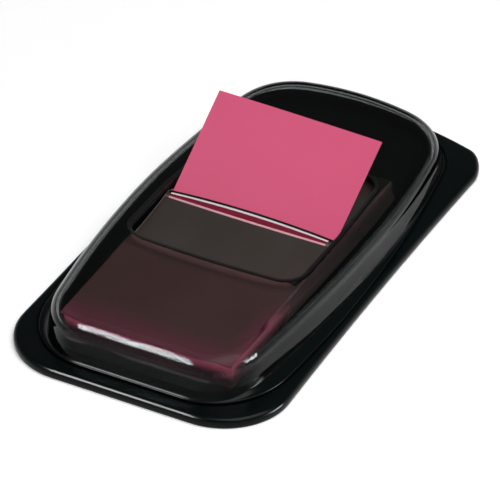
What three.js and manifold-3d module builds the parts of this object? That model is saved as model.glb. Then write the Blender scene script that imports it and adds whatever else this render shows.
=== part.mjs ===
// A desk dispenser of sticky index tabs: a black base plate, a smoked clear cover with a window, and in it
// a pad of film tabs wrapped in a film sleeve. The top tab stands out of the sleeve's slit.
// Millimetres, +Z up. The origin is the middle of the base plate's underside, and +Y is the rear.
import * as THREE from 'three';
import { mergeVertices } from 'three/addons/utils/BufferGeometryUtils.js';
import Module from 'manifold-3d';

const wasm = await Module();
wasm.setup();

// The tabs and their pad
const TAB_WIDTH = 25.4;
const TAB_LENGTH = 43.2;
const TAB_THICKNESS = 0.12;
const PAD_STAGGER = 3.9; // every second tab lies this much further back
const PAD_FRONT = -30.3;
const PAD_THICKNESS = 3.3;
const PAD_REAR_THICKNESS = 2.45; // where the cover's rear rim presses the pad
const PAD_LEVEL_PAST_SLIT = 0.4; // the pad's top is level to this far behind the slit

// The film sleeve round the pad
const FILM = 0.16;
const SLEEVE_OVERHANG = 0.5; // past each end of the pad
const SLEEVE_SIDE_GAP = 0.25;
const SLEEVE_TOP_GAP = 0.25;
const SLIT_FRONT = 0.0;
const SLIT_LENGTH = 1.6;
const TONGUE_RUN = 11.5; // length of film that rises to the slit
const LIP_SIDE_RISE = 0.25;
const LIP_MIDDLE_RISE = 1.35;

// The raised tab
const TAB_LEAN = 31.3; // degrees above level
const TAB_BEND_RADIUS = 4.0;
const TAB_SHOWN = 18.3; // from where it leaves the pad to its top edge

// The base plate
const BASE_THICKNESS = 1.5;
const BASE_MARGIN_FRONT = 2.45; // from the cover's foot to the plate's edge
const BASE_MARGIN_SIDE = 0.8;
const BASE_MARGIN_REAR = 1.25;
const BASE_NOSE_FLARE = 0.4; // each side is this much further out near the front
const BASE_RIGHT_REAR_FLARE = 0.4; // and the right side at the rear
const BASE_WAIST_Y = 2.0; // where the plate is narrowest
const BASE_FRONT_CORNER = 9.8;
const BASE_RIGHT_REAR_CORNER = 3.2;
const BASE_RIGHT_REAR_BOW = 5.0;
const BASE_LEFT_REAR_CORNER = 9.0;
const BASE_LEFT_REAR_BOW = 1.7;
const BASE_LEFT_REAR_NARROW = 2.3; // the left side draws in this much towards the rear
const BASE_TOP_ROUND = 0.75;
const BASE_FOOT_ROUND = 0.3;
const SEAT_DEPTH = 0.3; // of the groove that the cover's foot stands in
const SEAT_CLEARANCE = 0.3;

// The cover
const COVER_WALL = 1.1;
const COVER_RIM = 5.0; // from the window's edge to the wall's foot, at its widest place
const COVER_FRONT_ROOM = 3.2; // from the sleeve to the wall
const COVER_REAR_ROOM = 17.1;
const COVER_BELLY_Y = 2.0; // where the wall is widest
const COVER_FRONT_NARROW = 2.0; // how much less half-width at the front corners
const COVER_REAR_NARROW = 1.7;
const COVER_FRONT_CORNER = 7.6;
const COVER_REAR_CORNER = 8.4;
const COVER_REAR_BOW = 1.6;
const COVER_DRAFT = 0.6; // the wall leans in this much from foot to shoulder
const COVER_SHOULDER = 2.2; // radius between wall and top
const FLANGE_FRONT = 0.4; // the foot's flange, outside the wall
const FLANGE_SIDE = 1.05;
const FLANGE_REAR = 0.35;
const FLANGE_BELLY_Y = -7.0; // where the flange is widest
const FLANGE_FRONT_NARROW = 0.8;
const FLANGE_REAR_NARROW = 2.75;
const FLANGE_FRONT_CORNER = 10.6;
const FLANGE_EDGE = 0.3; // height of its outer edge above the plate
const FLANGE_RISE = 0.75; // height where it runs into the wall
const COVER_CROWN = 0.25;
const COVER_FALL_AT_ENDS = 0.1; // the top is this much lower at the front and at the window
const COVER_FALL_AT_SLIT = 1 / 3; // share of the fall to the pad's end
const COVER_HEADROOM_FRONT = 0.95; // between the sleeve and the inside of the top
const COVER_HEADROOM_REAR = 0.25;
const COVER_REAR_HEIGHT = 5.85; // above the table

// The window in the cover
const WINDOW_SIDE_CLEARANCE = 0.5; // beside the tab
const WINDOW_FRONT = -12.8;
const WINDOW_REAR = 15.8;
const WINDOW_CORNER = 3.2;
const WINDOW_REAR_TAPER = 0.9; // each side comes in this much towards the rear

// Fineness of the curves
const CORNER_STEPS = 9;
const SIDE_STEPS = 10;
const EDGE_STEPS = 5;
const SHOULDER_STEPS = 5;
const TOP_RINGS = 6;
const TONGUE_STEPS = 8;
const TONGUE_COLUMNS = 10;
const BEND_STEPS = 6;
const TOP_LINE_STEPS = 60;
const WINDOW_CORNER_STEPS = 6;
const CUT_SPARE = 1.0; // how far a cutting body runs past the face that it cuts
const SAME_POINT = 1e-4; // vertices closer than this are one

// Form of the rounded corners: how far a curve's handle reaches along a corner
const CORNER_HANDLE = 0.55;
const SIDE_HANDLE = 0.54; // at the front corner's side end
const BOW_AT_CORNER = 0.55; // share of the rear's bow that is spent before the corner

// Places that follow from the sizes above
const padHalf = TAB_WIDTH / 2;
const padLevelTo = SLIT_FRONT + SLIT_LENGTH + PAD_LEVEL_PAST_SLIT;
const padRear = PAD_FRONT + TAB_LENGTH + PAD_STAGGER;
const padFloor = BASE_THICKNESS + FILM;
const padTop = padFloor + PAD_THICKNESS;
const sleeveFront = PAD_FRONT - SLEEVE_OVERHANG;
const sleeveRear = padRear + SLEEVE_OVERHANG;
const sleeveInnerHalf = padHalf + SLEEVE_SIDE_GAP;
const sleeveHalf = sleeveInnerHalf + FILM;
const sleeveTop = padTop + TAB_THICKNESS + SLEEVE_TOP_GAP + FILM;
const sleeveRearTop = padFloor + PAD_REAR_THICKNESS + TAB_THICKNESS + SLEEVE_TOP_GAP + FILM;
const windowHalf = padHalf + WINDOW_SIDE_CLEARANCE;
const coverHalf = windowHalf + COVER_RIM;
const coverFront = sleeveFront - COVER_FRONT_ROOM - COVER_WALL;
const coverRear = sleeveRear + COVER_REAR_ROOM + COVER_WALL;
const footHalf = coverHalf + FLANGE_SIDE;
const footFront = coverFront - FLANGE_FRONT;
const footRear = coverRear + FLANGE_REAR;
const coverFoot = BASE_THICKNESS - SEAT_DEPTH;
const coverCrest = sleeveTop + COVER_HEADROOM_FRONT + COVER_WALL;
const coverAtPadEnd = sleeveRearTop + COVER_HEADROOM_REAR + COVER_WALL;
const baseHalf = footHalf + BASE_MARGIN_SIDE;
const baseFront = footFront - BASE_MARGIN_FRONT;
const baseRear = footRear + BASE_MARGIN_REAR;

// Right half of an outline, seen from above, from the front's straight part to the middle of the rear.
// The side bows, and the front and rear corners are rounded.
function halfOutline(sizes) {
  const { front, rear, half, bellyY, frontNarrow, rearNarrow } = sizes;
  const { frontCorner, rearCorner, rearBow } = sizes;
  const shoulderFront = new THREE.Vector2(half - frontNarrow, front + frontCorner);
  const belly = new THREE.Vector2(half, bellyY);
  const shoulderRear = new THREE.Vector2(half - rearNarrow, rear - rearBow - rearCorner);
  const frontFlat = new THREE.Vector2(shoulderFront.x - frontCorner, front);
  const rearFlat = new THREE.Vector2(shoulderRear.x - rearCorner, rear - rearBow * BOW_AT_CORNER);
  const middleRear = new THREE.Vector2(0, rear);
  // A side and the rear are parabolas, so they end at twice their mean slope
  const frontLean = 2 * frontNarrow / (belly.y - shoulderFront.y);
  const rearLean = 2 * rearNarrow / (shoulderRear.y - belly.y);
  const rearSlope = 2 * (rear - rearFlat.y) / rearFlat.x;
  // A handle a third of the way from one point to another, in the direction dx, dy
  const reach = (from, to, dx, dy) => {
    const length = from.distanceTo(to) / 3;
    const size = Math.hypot(dx, dy);
    return new THREE.Vector2(from.x + dx * length / size, from.y + dy * length / size);
  };
  const rearTurn = rearCorner * CORNER_HANDLE;
  const curves = [
    [new THREE.CubicBezierCurve(
      frontFlat,
      new THREE.Vector2(frontFlat.x + frontCorner * CORNER_HANDLE, front),
      new THREE.Vector2(
        shoulderFront.x - frontCorner * SIDE_HANDLE * frontLean,
        shoulderFront.y - frontCorner * SIDE_HANDLE
      ),
      shoulderFront
    ), CORNER_STEPS],
    [new THREE.CubicBezierCurve(
      shoulderFront, reach(shoulderFront, belly, frontLean, 1), reach(belly, shoulderFront, 0, -1), belly
    ), SIDE_STEPS],
    [new THREE.CubicBezierCurve(
      belly, reach(belly, shoulderRear, 0, 1), reach(shoulderRear, belly, rearLean, -1), shoulderRear
    ), SIDE_STEPS],
    [new THREE.CubicBezierCurve(
      shoulderRear,
      new THREE.Vector2(shoulderRear.x - rearTurn * rearLean, shoulderRear.y + rearTurn),
      new THREE.Vector2(rearFlat.x + rearTurn, rearFlat.y - rearTurn * rearSlope),
      rearFlat
    ), CORNER_STEPS],
    [new THREE.CubicBezierCurve(
      rearFlat, reach(rearFlat, middleRear, -1, rearSlope), reach(middleRear, rearFlat, 1, 0), middleRear
    ), EDGE_STEPS]
  ];
  return curves.flatMap(([curve, steps]) => curve.getPoints(steps).slice(0, steps));
}

// A closed outline: the right half, and the left half, which mirrors it unless some of its sizes differ
function outline(sizes, leftSizes = {}) {
  const right = halfOutline(sizes);
  const left = halfOutline({ ...sizes, ...leftSizes }).reverse().map((p) => new THREE.Vector2(-p.x, p.y));
  return [...right, new THREE.Vector2(0, sizes.rear), ...left];
}

// The same outline moved inwards by a distance, or outwards where it is negative
function inset(points, distance) {
  return points.map((p, i) => {
    const before = points[(i + points.length - 1) % points.length];
    const after = points[(i + 1) % points.length];
    const along = after.clone().sub(before).normalize();
    return new THREE.Vector2(p.x - along.y * distance, p.y + along.x * distance);
  });
}

const level = (points, z) => points.map((p) => new THREE.Vector3(p.x, p.y, z));

// A closed body through rings of points that run anticlockwise seen from above, from the lowest ring up
function bodyThrough(rings) {
  const count = rings[0].length;
  const vertices = rings.flat();
  const faces = [];
  for (let r = 0; r + 1 < rings.length; r++) {
    for (let i = 0; i < count; i++) {
      const a = r * count + i;
      const b = r * count + (i + 1) % count;
      faces.push([a, b, b + count], [a, b + count, a + count]);
    }
  }
  const middle = (ring) => ring.reduce((sum, p) => sum.add(p), new THREE.Vector3()).divideScalar(count);
  const low = vertices.push(middle(rings[0])) - 1;
  const high = vertices.push(middle(rings.at(-1))) - 1;
  const lastRing = (rings.length - 1) * count;
  for (let i = 0; i < count; i++) {
    const next = (i + 1) % count;
    faces.push([low, next, i], [high, lastRing + i, lastRing + next]);
  }
  return facesToGeometry(vertices, faces);
}

// A tube with a wall, through matching outer and inner loops, one pair for each place along its length
function tubeThrough(outer, inner) {
  const count = outer[0].length;
  const vertices = [...outer.flat(), ...inner.flat()];
  const innerStart = outer.length * count;
  const faces = [];
  const quad = (a, b, c, d) => faces.push([a, b, c], [a, c, d]);
  for (let i = 0; i < count; i++) {
    const next = (i + 1) % count;
    for (let s = 0; s + 1 < outer.length; s++) {
      const row = s * count;
      quad(row + i, row + count + i, row + count + next, row + next);
      const innerRow = innerStart + row;
      quad(innerRow + i, innerRow + next, innerRow + count + next, innerRow + count + i);
    }
    const last = (outer.length - 1) * count;
    quad(i, next, innerStart + next, innerStart + i);
    quad(last + next, last + i, innerStart + last + i, innerStart + last + next);
  }
  return facesToGeometry(vertices, faces);
}

function facesToGeometry(vertices, faces) {
  const geometry = new THREE.BufferGeometry();
  const places = vertices.flatMap((p) => [p.x, p.y, p.z]);
  geometry.setAttribute('position', new THREE.Float32BufferAttribute(places, 3));
  geometry.setIndex(faces.flat());
  return geometry;
}

// From a three.js geometry to a solid for cutting, and back
function solidOf(geometry) {
  const plain = geometry.clone();
  plain.deleteAttribute('normal');
  plain.deleteAttribute('uv');
  const merged = mergeVertices(plain, SAME_POINT);
  return new wasm.Manifold(new wasm.Mesh({
    numProp: 3,
    vertProperties: new Float32Array(merged.attributes.position.array),
    triVerts: new Uint32Array(merged.index.array)
  }));
}

function geometryOf(solid) {
  const mesh = solid.getMesh();
  const geometry = new THREE.BufferGeometry();
  geometry.setAttribute('position', new THREE.BufferAttribute(new Float32Array(mesh.vertProperties), 3));
  geometry.setIndex(new THREE.BufferAttribute(new Uint32Array(mesh.triVerts), 1));
  return geometry;
}

function piece(name, geometry, colour, roughness, extra = {}) {
  const material = new THREE.MeshStandardMaterial({ color: colour, roughness, metalness: 0, ...extra });
  geometry.computeVertexNormals();
  const mesh = new THREE.Mesh(geometry, material);
  mesh.name = name;
  return mesh;
}

// Cover: its outline, and the height of its top along its length
const coverOutline = outline({
  front: coverFront,
  rear: coverRear,
  half: coverHalf,
  bellyY: COVER_BELLY_Y,
  frontNarrow: COVER_FRONT_NARROW,
  rearNarrow: COVER_REAR_NARROW,
  frontCorner: COVER_FRONT_CORNER,
  rearCorner: COVER_REAR_CORNER,
  rearBow: COVER_REAR_BOW
});

const footOutline = outline({
  front: footFront,
  rear: footRear,
  half: footHalf,
  bellyY: FLANGE_BELLY_Y,
  frontNarrow: FLANGE_FRONT_NARROW,
  rearNarrow: FLANGE_REAR_NARROW,
  frontCorner: FLANGE_FRONT_CORNER,
  rearCorner: COVER_REAR_CORNER,
  rearBow: COVER_REAR_BOW
});

const topLine = new THREE.CatmullRomCurve3([
  new THREE.Vector3(0, coverFront, coverCrest - COVER_FALL_AT_ENDS),
  new THREE.Vector3(0, (coverFront + WINDOW_FRONT) / 2, coverCrest),
  new THREE.Vector3(0, WINDOW_FRONT, coverCrest - COVER_FALL_AT_ENDS),
  new THREE.Vector3(0, SLIT_FRONT, THREE.MathUtils.lerp(coverCrest, coverAtPadEnd, COVER_FALL_AT_SLIT)),
  new THREE.Vector3(0, padRear, coverAtPadEnd),
  new THREE.Vector3(0, coverRear, COVER_REAR_HEIGHT)
], false, 'catmullrom', 0.5).getPoints(TOP_LINE_STEPS);

function topHeight(y) {
  const i = topLine.findIndex((p) => p.y >= y);
  if (i <= 0) {
    return i === 0 ? topLine[0].z : topLine.at(-1).z;
  }
  const before = topLine[i - 1];
  const share = (y - before.y) / (topLine[i].y - before.y);
  return before.z + share * (topLine[i].z - before.z);
}

// One skin of the cover: the outer one, or the inner one, which lies a wall's thickness inside it
function coverSkin(wall, lowRings, foot) {
  const shoulder = COVER_SHOULDER - wall;
  const wallRing = (share) => {
    const ring = inset(coverOutline, wall + COVER_DRAFT * share);
    return ring.map((p) => {
      const top = topHeight(p.y) - COVER_SHOULDER;
      return new THREE.Vector3(p.x, p.y, foot + (top - foot) * share);
    });
  };
  const shoulderRing = (angle) => {
    const ring = inset(coverOutline, wall + COVER_DRAFT + shoulder * (1 - Math.cos(angle)));
    const rise = shoulder * Math.sin(angle);
    return ring.map((p) => new THREE.Vector3(p.x, p.y, topHeight(p.y) - COVER_SHOULDER + rise));
  };
  const rings = [...lowRings, wallRing(0), wallRing(0.5)];
  for (let s = 0; s <= SHOULDER_STEPS; s++) {
    rings.push(shoulderRing(Math.PI / 2 * s / SHOULDER_STEPS));
  }
  const edge = rings.at(-1);
  const middleY = (coverFront + coverRear) / 2;
  for (let s = 1; s < TOP_RINGS; s++) {
    const share = 1 - s / TOP_RINGS;
    rings.push(edge.map((p) => {
      const y = middleY + (p.y - middleY) * share;
      const crown = COVER_CROWN * (1 - share * share);
      return new THREE.Vector3(p.x * share, y, topHeight(y) - wall + crown);
    }));
  }
  return solidOf(bodyThrough(rings));
}

function windowCutter() {
  const shape = new THREE.Shape();
  const rearHalf = windowHalf - WINDOW_REAR_TAPER;
  const corner = WINDOW_CORNER;
  shape.moveTo(-windowHalf + corner, WINDOW_FRONT);
  shape.lineTo(windowHalf - corner, WINDOW_FRONT);
  shape.quadraticCurveTo(windowHalf, WINDOW_FRONT, windowHalf, WINDOW_FRONT + corner);
  shape.lineTo(windowHalf, SLIT_FRONT);
  shape.lineTo(rearHalf, WINDOW_REAR - corner);
  shape.quadraticCurveTo(rearHalf, WINDOW_REAR, rearHalf - corner, WINDOW_REAR);
  shape.lineTo(-rearHalf + corner, WINDOW_REAR);
  shape.quadraticCurveTo(-rearHalf, WINDOW_REAR, -rearHalf, WINDOW_REAR - corner);
  shape.lineTo(-windowHalf, SLIT_FRONT);
  shape.lineTo(-windowHalf, WINDOW_FRONT + corner);
  shape.quadraticCurveTo(-windowHalf, WINDOW_FRONT, -windowHalf + corner, WINDOW_FRONT);
  const low = coverFoot + CUT_SPARE;
  const geometry = new THREE.ExtrudeGeometry(shape, {
    depth: coverCrest + COVER_CROWN + CUT_SPARE - low,
    bevelEnabled: false,
    curveSegments: WINDOW_CORNER_STEPS
  });
  geometry.translate(0, 0, low);
  return solidOf(geometry);
}

function coverOuter() {
  const edge = BASE_THICKNESS + FLANGE_EDGE;
  const foot = [level(footOutline, coverFoot), level(footOutline, edge)];
  return coverSkin(0, foot, BASE_THICKNESS + FLANGE_RISE);
}

function coverInner() {
  return coverSkin(COVER_WALL, [level(inset(coverOutline, COVER_WALL), coverFoot - CUT_SPARE)], coverFoot);
}

const cover = piece(
  'cover',
  geometryOf(coverOuter().subtract(coverInner()).subtract(windowCutter())),
  0x2b2f30,
  0.08,
  { transparent: true, opacity: 0.6 }
);

// Base plate, with the shallow seat that the cover's foot stands in
function basePlate() {
  const points = outline({
    front: baseFront,
    rear: baseRear,
    half: baseHalf,
    bellyY: BASE_WAIST_Y,
    frontNarrow: -BASE_NOSE_FLARE,
    rearNarrow: -BASE_RIGHT_REAR_FLARE,
    frontCorner: BASE_FRONT_CORNER,
    rearCorner: BASE_RIGHT_REAR_CORNER,
    rearBow: BASE_RIGHT_REAR_BOW
  }, {
    rearNarrow: BASE_LEFT_REAR_NARROW,
    rearCorner: BASE_LEFT_REAR_CORNER,
    rearBow: BASE_LEFT_REAR_BOW
  });
  const rings = [
    level(inset(points, BASE_FOOT_ROUND), 0),
    level(points, BASE_FOOT_ROUND)
  ];
  for (let s = 0; s <= SHOULDER_STEPS; s++) {
    const angle = Math.PI / 2 * s / SHOULDER_STEPS;
    rings.push(level(
      inset(points, BASE_TOP_ROUND * (1 - Math.cos(angle))),
      BASE_THICKNESS - BASE_TOP_ROUND * (1 - Math.sin(angle))
    ));
  }
  const top = BASE_THICKNESS + CUT_SPARE;
  const outerSeat = inset(footOutline, -SEAT_CLEARANCE);
  const innerSeat = inset(coverOutline, COVER_WALL + SEAT_CLEARANCE);
  const island = [level(innerSeat, coverFoot - CUT_SPARE), level(innerSeat, top + CUT_SPARE)];
  const seat = solidOf(bodyThrough([level(outerSeat, coverFoot), level(outerSeat, top)]))
    .subtract(solidOf(bodyThrough(island)));
  return geometryOf(solidOf(bodyThrough(rings)).subtract(seat));
}

const base = piece('base_plate', basePlate(), 0x0d1110, 0.12);

// Height of the pad's top face: level, then lower towards the rear end
function padTopAt(y) {
  const share = THREE.MathUtils.clamp((y - padLevelTo) / (padRear - padLevelTo), 0, 1);
  return padTop - (PAD_THICKNESS - PAD_REAR_THICKNESS) * share;
}

function padBody() {
  const edge = (y) => [
    new THREE.Vector3(-padHalf, y, padFloor),
    new THREE.Vector3(padHalf, y, padFloor),
    new THREE.Vector3(padHalf, y, padTopAt(y)),
    new THREE.Vector3(-padHalf, y, padTopAt(y))
  ];
  return bodyThrough([edge(padRear), edge(padLevelTo), edge(PAD_FRONT)]);
}

const pad = piece('tab_pad', padBody(), 0x8a3148, 0.6);

// Film sleeve: a flat tube, open at both ends, whose top rises to a bowed lip at the slit
function sleeveLoop(y, side, floor, rise) {
  const share = THREE.MathUtils.clamp((y - SLIT_FRONT + TONGUE_RUN) / TONGUE_RUN, 0, 1);
  const lift = y <= SLIT_FRONT + SLIT_LENGTH / 2 ? share * share : 0;
  const loop = [new THREE.Vector3(-side, y, floor), new THREE.Vector3(side, y, floor)];
  for (let c = 0; c <= TONGUE_COLUMNS; c++) {
    const across = 1 - 2 * c / TONGUE_COLUMNS;
    const bow = LIP_SIDE_RISE + (LIP_MIDDLE_RISE - LIP_SIDE_RISE) * (1 - across * across);
    loop.push(new THREE.Vector3(side * across, y, padTopAt(y) + rise + bow * lift));
  }
  return loop;
}

function sleeveBody() {
  const stations = [sleeveFront];
  for (let s = 0; s <= TONGUE_STEPS; s++) {
    stations.push(SLIT_FRONT - TONGUE_RUN * (1 - s / TONGUE_STEPS));
  }
  stations.push(SLIT_FRONT + SLIT_LENGTH / 2, SLIT_FRONT + SLIT_LENGTH, padLevelTo, padRear, sleeveRear);
  const innerRise = TAB_THICKNESS + SLEEVE_TOP_GAP;
  const outer = stations.map((y) => sleeveLoop(y, sleeveHalf, BASE_THICKNESS, innerRise + FILM));
  const inner = stations.map((y) => sleeveLoop(y, sleeveInnerHalf, padFloor, innerRise));
  const slitHeight = LIP_MIDDLE_RISE + CUT_SPARE * 2;
  const slit = new THREE.BoxGeometry(sleeveInnerHalf * 2, SLIT_LENGTH, slitHeight);
  slit.translate(0, SLIT_FRONT + SLIT_LENGTH / 2, padTop + slitHeight / 2);
  return geometryOf(solidOf(tubeThrough(outer, inner)).subtract(solidOf(slit)));
}

const sleeve = piece('film_sleeve', sleeveBody(), 0x4a423d, 0.35, { transparent: true, opacity: 0.7 });

// Raised tab: it lies on the pad under the film, bends at the slit and leans back
function raisedTab() {
  const lean = THREE.MathUtils.degToRad(TAB_LEAN);
  const bendStart = SLIT_FRONT - TAB_BEND_RADIUS * Math.tan(lean / 2);
  const strip = (offset) => {
    const radius = TAB_BEND_RADIUS - offset;
    const line = [new THREE.Vector2(bendStart + TAB_SHOWN - TAB_LENGTH, padTop + offset)];
    for (let s = 0; s <= BEND_STEPS; s++) {
      const angle = lean * s / BEND_STEPS;
      line.push(new THREE.Vector2(
        bendStart + radius * Math.sin(angle),
        padTop + TAB_BEND_RADIUS - radius * Math.cos(angle)
      ));
    }
    const straight = TAB_SHOWN - TAB_BEND_RADIUS * lean;
    const last = line.at(-1);
    line.push(new THREE.Vector2(last.x + straight * Math.cos(lean), last.y + straight * Math.sin(lean)));
    return line;
  };
  const shape = new THREE.Shape([...strip(0), ...strip(TAB_THICKNESS).reverse()]);
  const geometry = new THREE.ExtrudeGeometry(shape, { depth: TAB_WIDTH, bevelEnabled: false });
  const lengthwise = new THREE.Matrix4().makeBasis(
    new THREE.Vector3(0, 1, 0), new THREE.Vector3(0, 0, 1), new THREE.Vector3(1, 0, 0)
  );
  geometry.applyMatrix4(lengthwise);
  geometry.translate(-padHalf, 0, 0);
  return geometryOf(solidOf(geometry));
}

const tab = piece('raised_tab', raisedTab(), 0xcf537a, 0.5);

const dispenser = new THREE.Group();
dispenser.add(base, cover, sleeve, pad, tab);
dispenser.position.y = -(baseFront + baseRear) / 2;
export default dispenser;
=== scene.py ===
# %% [markdown]
# # Sticky index tabs in a desk dispenser
# A black base plate carries a smoked clear cover with a window. Under it lies a pad of film tabs, wrapped
# in a film sleeve. The imported model gives every place and size. This lesson models each piece again with
# a fine surface, and gives each one its finish. It starts by loading that model.

# %% Load the frame
import bmesh
import bpy
import math
from mathutils import Matrix, Vector
from mathutils.geometry import interpolate_bezier


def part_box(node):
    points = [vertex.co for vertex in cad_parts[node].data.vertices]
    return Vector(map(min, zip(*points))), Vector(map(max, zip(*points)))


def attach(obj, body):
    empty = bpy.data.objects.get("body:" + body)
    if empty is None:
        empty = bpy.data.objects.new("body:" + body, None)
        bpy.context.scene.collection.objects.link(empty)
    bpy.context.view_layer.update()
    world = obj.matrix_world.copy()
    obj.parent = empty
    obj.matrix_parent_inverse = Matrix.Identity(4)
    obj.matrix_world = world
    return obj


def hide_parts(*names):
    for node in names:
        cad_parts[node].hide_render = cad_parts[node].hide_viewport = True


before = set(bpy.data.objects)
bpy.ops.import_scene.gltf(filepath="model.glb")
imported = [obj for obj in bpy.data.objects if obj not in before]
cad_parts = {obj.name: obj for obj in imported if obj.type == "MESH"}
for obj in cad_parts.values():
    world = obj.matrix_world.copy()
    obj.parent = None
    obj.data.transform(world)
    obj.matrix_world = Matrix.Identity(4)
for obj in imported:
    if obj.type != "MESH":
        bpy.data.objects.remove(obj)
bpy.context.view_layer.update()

MM = 0.001
BODY = "root"

# %% [markdown]
# ## Sizes taken from the frame
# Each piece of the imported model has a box. The outlines below start from those boxes, so that the
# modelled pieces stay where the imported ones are. What a box can't tell, such as a corner's radius, is a
# named value.

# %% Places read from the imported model, in metres
cover_low, cover_high = (Vector(c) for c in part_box("cover"))
base_low, base_high = (Vector(c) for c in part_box("base_plate"))
pad_low, pad_high = (Vector(c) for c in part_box("tab_pad"))
sleeve_low, sleeve_high = (Vector(c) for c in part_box("film_sleeve"))
tab_low, tab_high = (Vector(c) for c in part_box("raised_tab"))

TAB_THICKNESS = 0.12 * MM
TAB_LENGTH = 43.2 * MM
PAD_STAGGER = pad_high.y - pad_low.y - TAB_LENGTH
SLIT_FRONT = pad_low.y + 30.3 * MM
SLIT_LENGTH = 1.6 * MM
PAD_LEVEL_TO = SLIT_FRONT + 2.0 * MM
WINDOW_FRONT = SLIT_FRONT - 12.8 * MM
PAD_REAR_DROP = 0.85 * MM
print("the slit starts at y =", round(SLIT_FRONT / MM, 2), "mm")

# %% [markdown]
# ## Small helpers for modelling
# Most of these pieces are closed shells with a long, softly curved outline. Each is drawn as a chain of
# rings: a circle is added, its points are laid on the first outline, and it is extruded from ring to
# ring. That keeps nearly every face a tidy quad, so a glossy surface reflects smoothly. A boolean would
# leave long thin faces there.

# %% Start from nothing selected
def clear_selection():
    if bpy.context.object and bpy.context.object.mode != "OBJECT":
        bpy.ops.object.mode_set(mode="OBJECT")
    bpy.ops.object.select_all(action="DESELECT")


# %% The first ring, and each next one
def start_ring(name, points):
    """Adds a circle and lays its points on an outline. The new ring stays selected, in edit mode."""
    clear_selection()
    bpy.ops.mesh.primitive_circle_add(vertices=len(points), radius=10 * MM, fill_type="NOTHING")
    piece = bpy.context.object
    piece.name = piece.data.name = name
    for vertex, point in zip(piece.data.vertices, points):
        vertex.co = point
    bpy.ops.object.mode_set(mode="EDIT")
    bpy.ops.mesh.select_mode(type="VERT")
    bpy.ops.mesh.select_all(action="SELECT")
    return piece


def next_ring(points):
    """Extrudes the selected ring and lays the new one on the next outline."""
    bpy.ops.mesh.extrude_region_move()
    mesh = bmesh.from_edit_mesh(bpy.context.object.data)
    for vertex, point in zip([v for v in mesh.verts if v.select], points):
        vertex.co = point
    bmesh.update_edit_mesh(bpy.context.object.data)


def chain(name, rings, close):
    """A shell through rings. close is "loop" to join the last ring to the first, "caps" to fill both ends,
    or "open" to leave them as they are."""
    piece = start_ring(name, rings[0])
    for ring in rings[1:]:
        next_ring(ring)
    if close == "loop":
        bpy.ops.mesh.select_mode(type="EDGE")
        bpy.ops.mesh.select_all(action="DESELECT")
        bpy.ops.mesh.select_non_manifold()
        bpy.ops.mesh.bridge_edge_loops()
    if close == "caps":
        bpy.ops.mesh.select_all(action="SELECT")
        bpy.ops.mesh.fill_holes(sides=0)
    bpy.ops.mesh.select_mode(type="VERT")
    return piece


# %% Select faces by a test of their place or normal
def select_faces(piece, test):
    """The piece is in edit mode. Returns how many faces the test chose."""
    bpy.ops.mesh.select_mode(type="FACE")
    bpy.ops.mesh.select_all(action="DESELECT")
    mesh = bmesh.from_edit_mesh(piece.data)
    mesh.normal_update()
    chosen = [face for face in mesh.faces if test(face)]
    for face in chosen:
        face.select_set(True)
    bmesh.update_edit_mesh(piece.data)
    return len(chosen)


# %% Give the chosen faces a material of their own
def paint_faces(piece, index, test):
    print(piece.data.materials[index].name, "faces:", select_faces(piece, test))
    piece.active_material_index = index
    bpy.ops.object.material_slot_assign()


# %% Give a sheet its thickness
def thicken(piece, thickness, offset):
    bpy.ops.object.modifier_add(type="SOLIDIFY")
    piece.modifiers[-1].thickness = thickness
    piece.modifiers[-1].offset = offset
    bpy.ops.object.modifier_apply(modifier=piece.modifiers[-1].name)


# %% Turn the faces outwards, smooth them and say what the piece is
MERGE_BELOW = 0.001 * MM


def finish_piece(piece, materials, node, smooth_below=35):
    clear_selection()
    bpy.context.view_layer.objects.active = piece
    piece.select_set(True)
    bpy.ops.object.mode_set(mode="EDIT")
    bpy.ops.mesh.select_all(action="SELECT")
    bpy.ops.mesh.remove_doubles(threshold=MERGE_BELOW)
    bpy.ops.mesh.normals_make_consistent(inside=False)
    bpy.ops.object.mode_set(mode="OBJECT")
    bpy.ops.object.shade_smooth_by_angle(angle=math.radians(smooth_below))
    if not piece.data.materials:
        for material in materials:
            piece.data.materials.append(material)
    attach(piece, BODY)
    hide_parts(node)
    mesh = bmesh.new()
    mesh.from_mesh(piece.data)
    open_edges = sum(1 for edge in mesh.edges if not edge.is_manifold)
    print(piece.name, len(mesh.faces), "faces,", open_edges, "open edges, volume",
          round(mesh.calc_volume(signed=True) / MM ** 3, 1), "mm3")
    mesh.free()


# %% [markdown]
# ## The camera
# The view is a long lens from the front right, above the dispenser. A camera close by would show the
# front much wider than the rear. Here the sides hardly converge, so the camera stands far away.

# %% Camera
VIEW_AZIMUTH = math.radians(27.6)
VIEW_ELEVATION = math.radians(36.7)
VIEW_WIDTH = 69.35 * MM
VIEW_CENTRE = Vector((-0.31, 0.575, 0)) * MM
LENS = 400
SENSOR = 36
back = Vector((
    math.sin(VIEW_AZIMUTH) * math.cos(VIEW_ELEVATION),
    -math.cos(VIEW_AZIMUTH) * math.cos(VIEW_ELEVATION),
    math.sin(VIEW_ELEVATION),
))
clear_selection()
bpy.ops.object.camera_add(location=VIEW_CENTRE + back * VIEW_WIDTH * LENS / SENSOR)
camera = bpy.context.object
camera.name = "camera"
camera.data.lens = LENS
camera.data.sensor_width = SENSOR
camera.data.clip_start = 10 * MM
camera.data.clip_end = 10
camera.rotation_euler = back.to_track_quat("Z", "Y").to_euler()
bpy.context.scene.camera = camera
print("camera stands", round(camera.location.length, 3), "m away")


# %% [markdown]
# ## The floor
# A photographer's table is a white sheet that curves up behind the goods, so that no horizon shows. Here
# it is round and curves up on every side. A flat plane would end in a line at low views. It glows a
# little, but only for rays from the camera, for reflections and for what shows through the cover, so that
# it looks white and doesn't light the goods.

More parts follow.
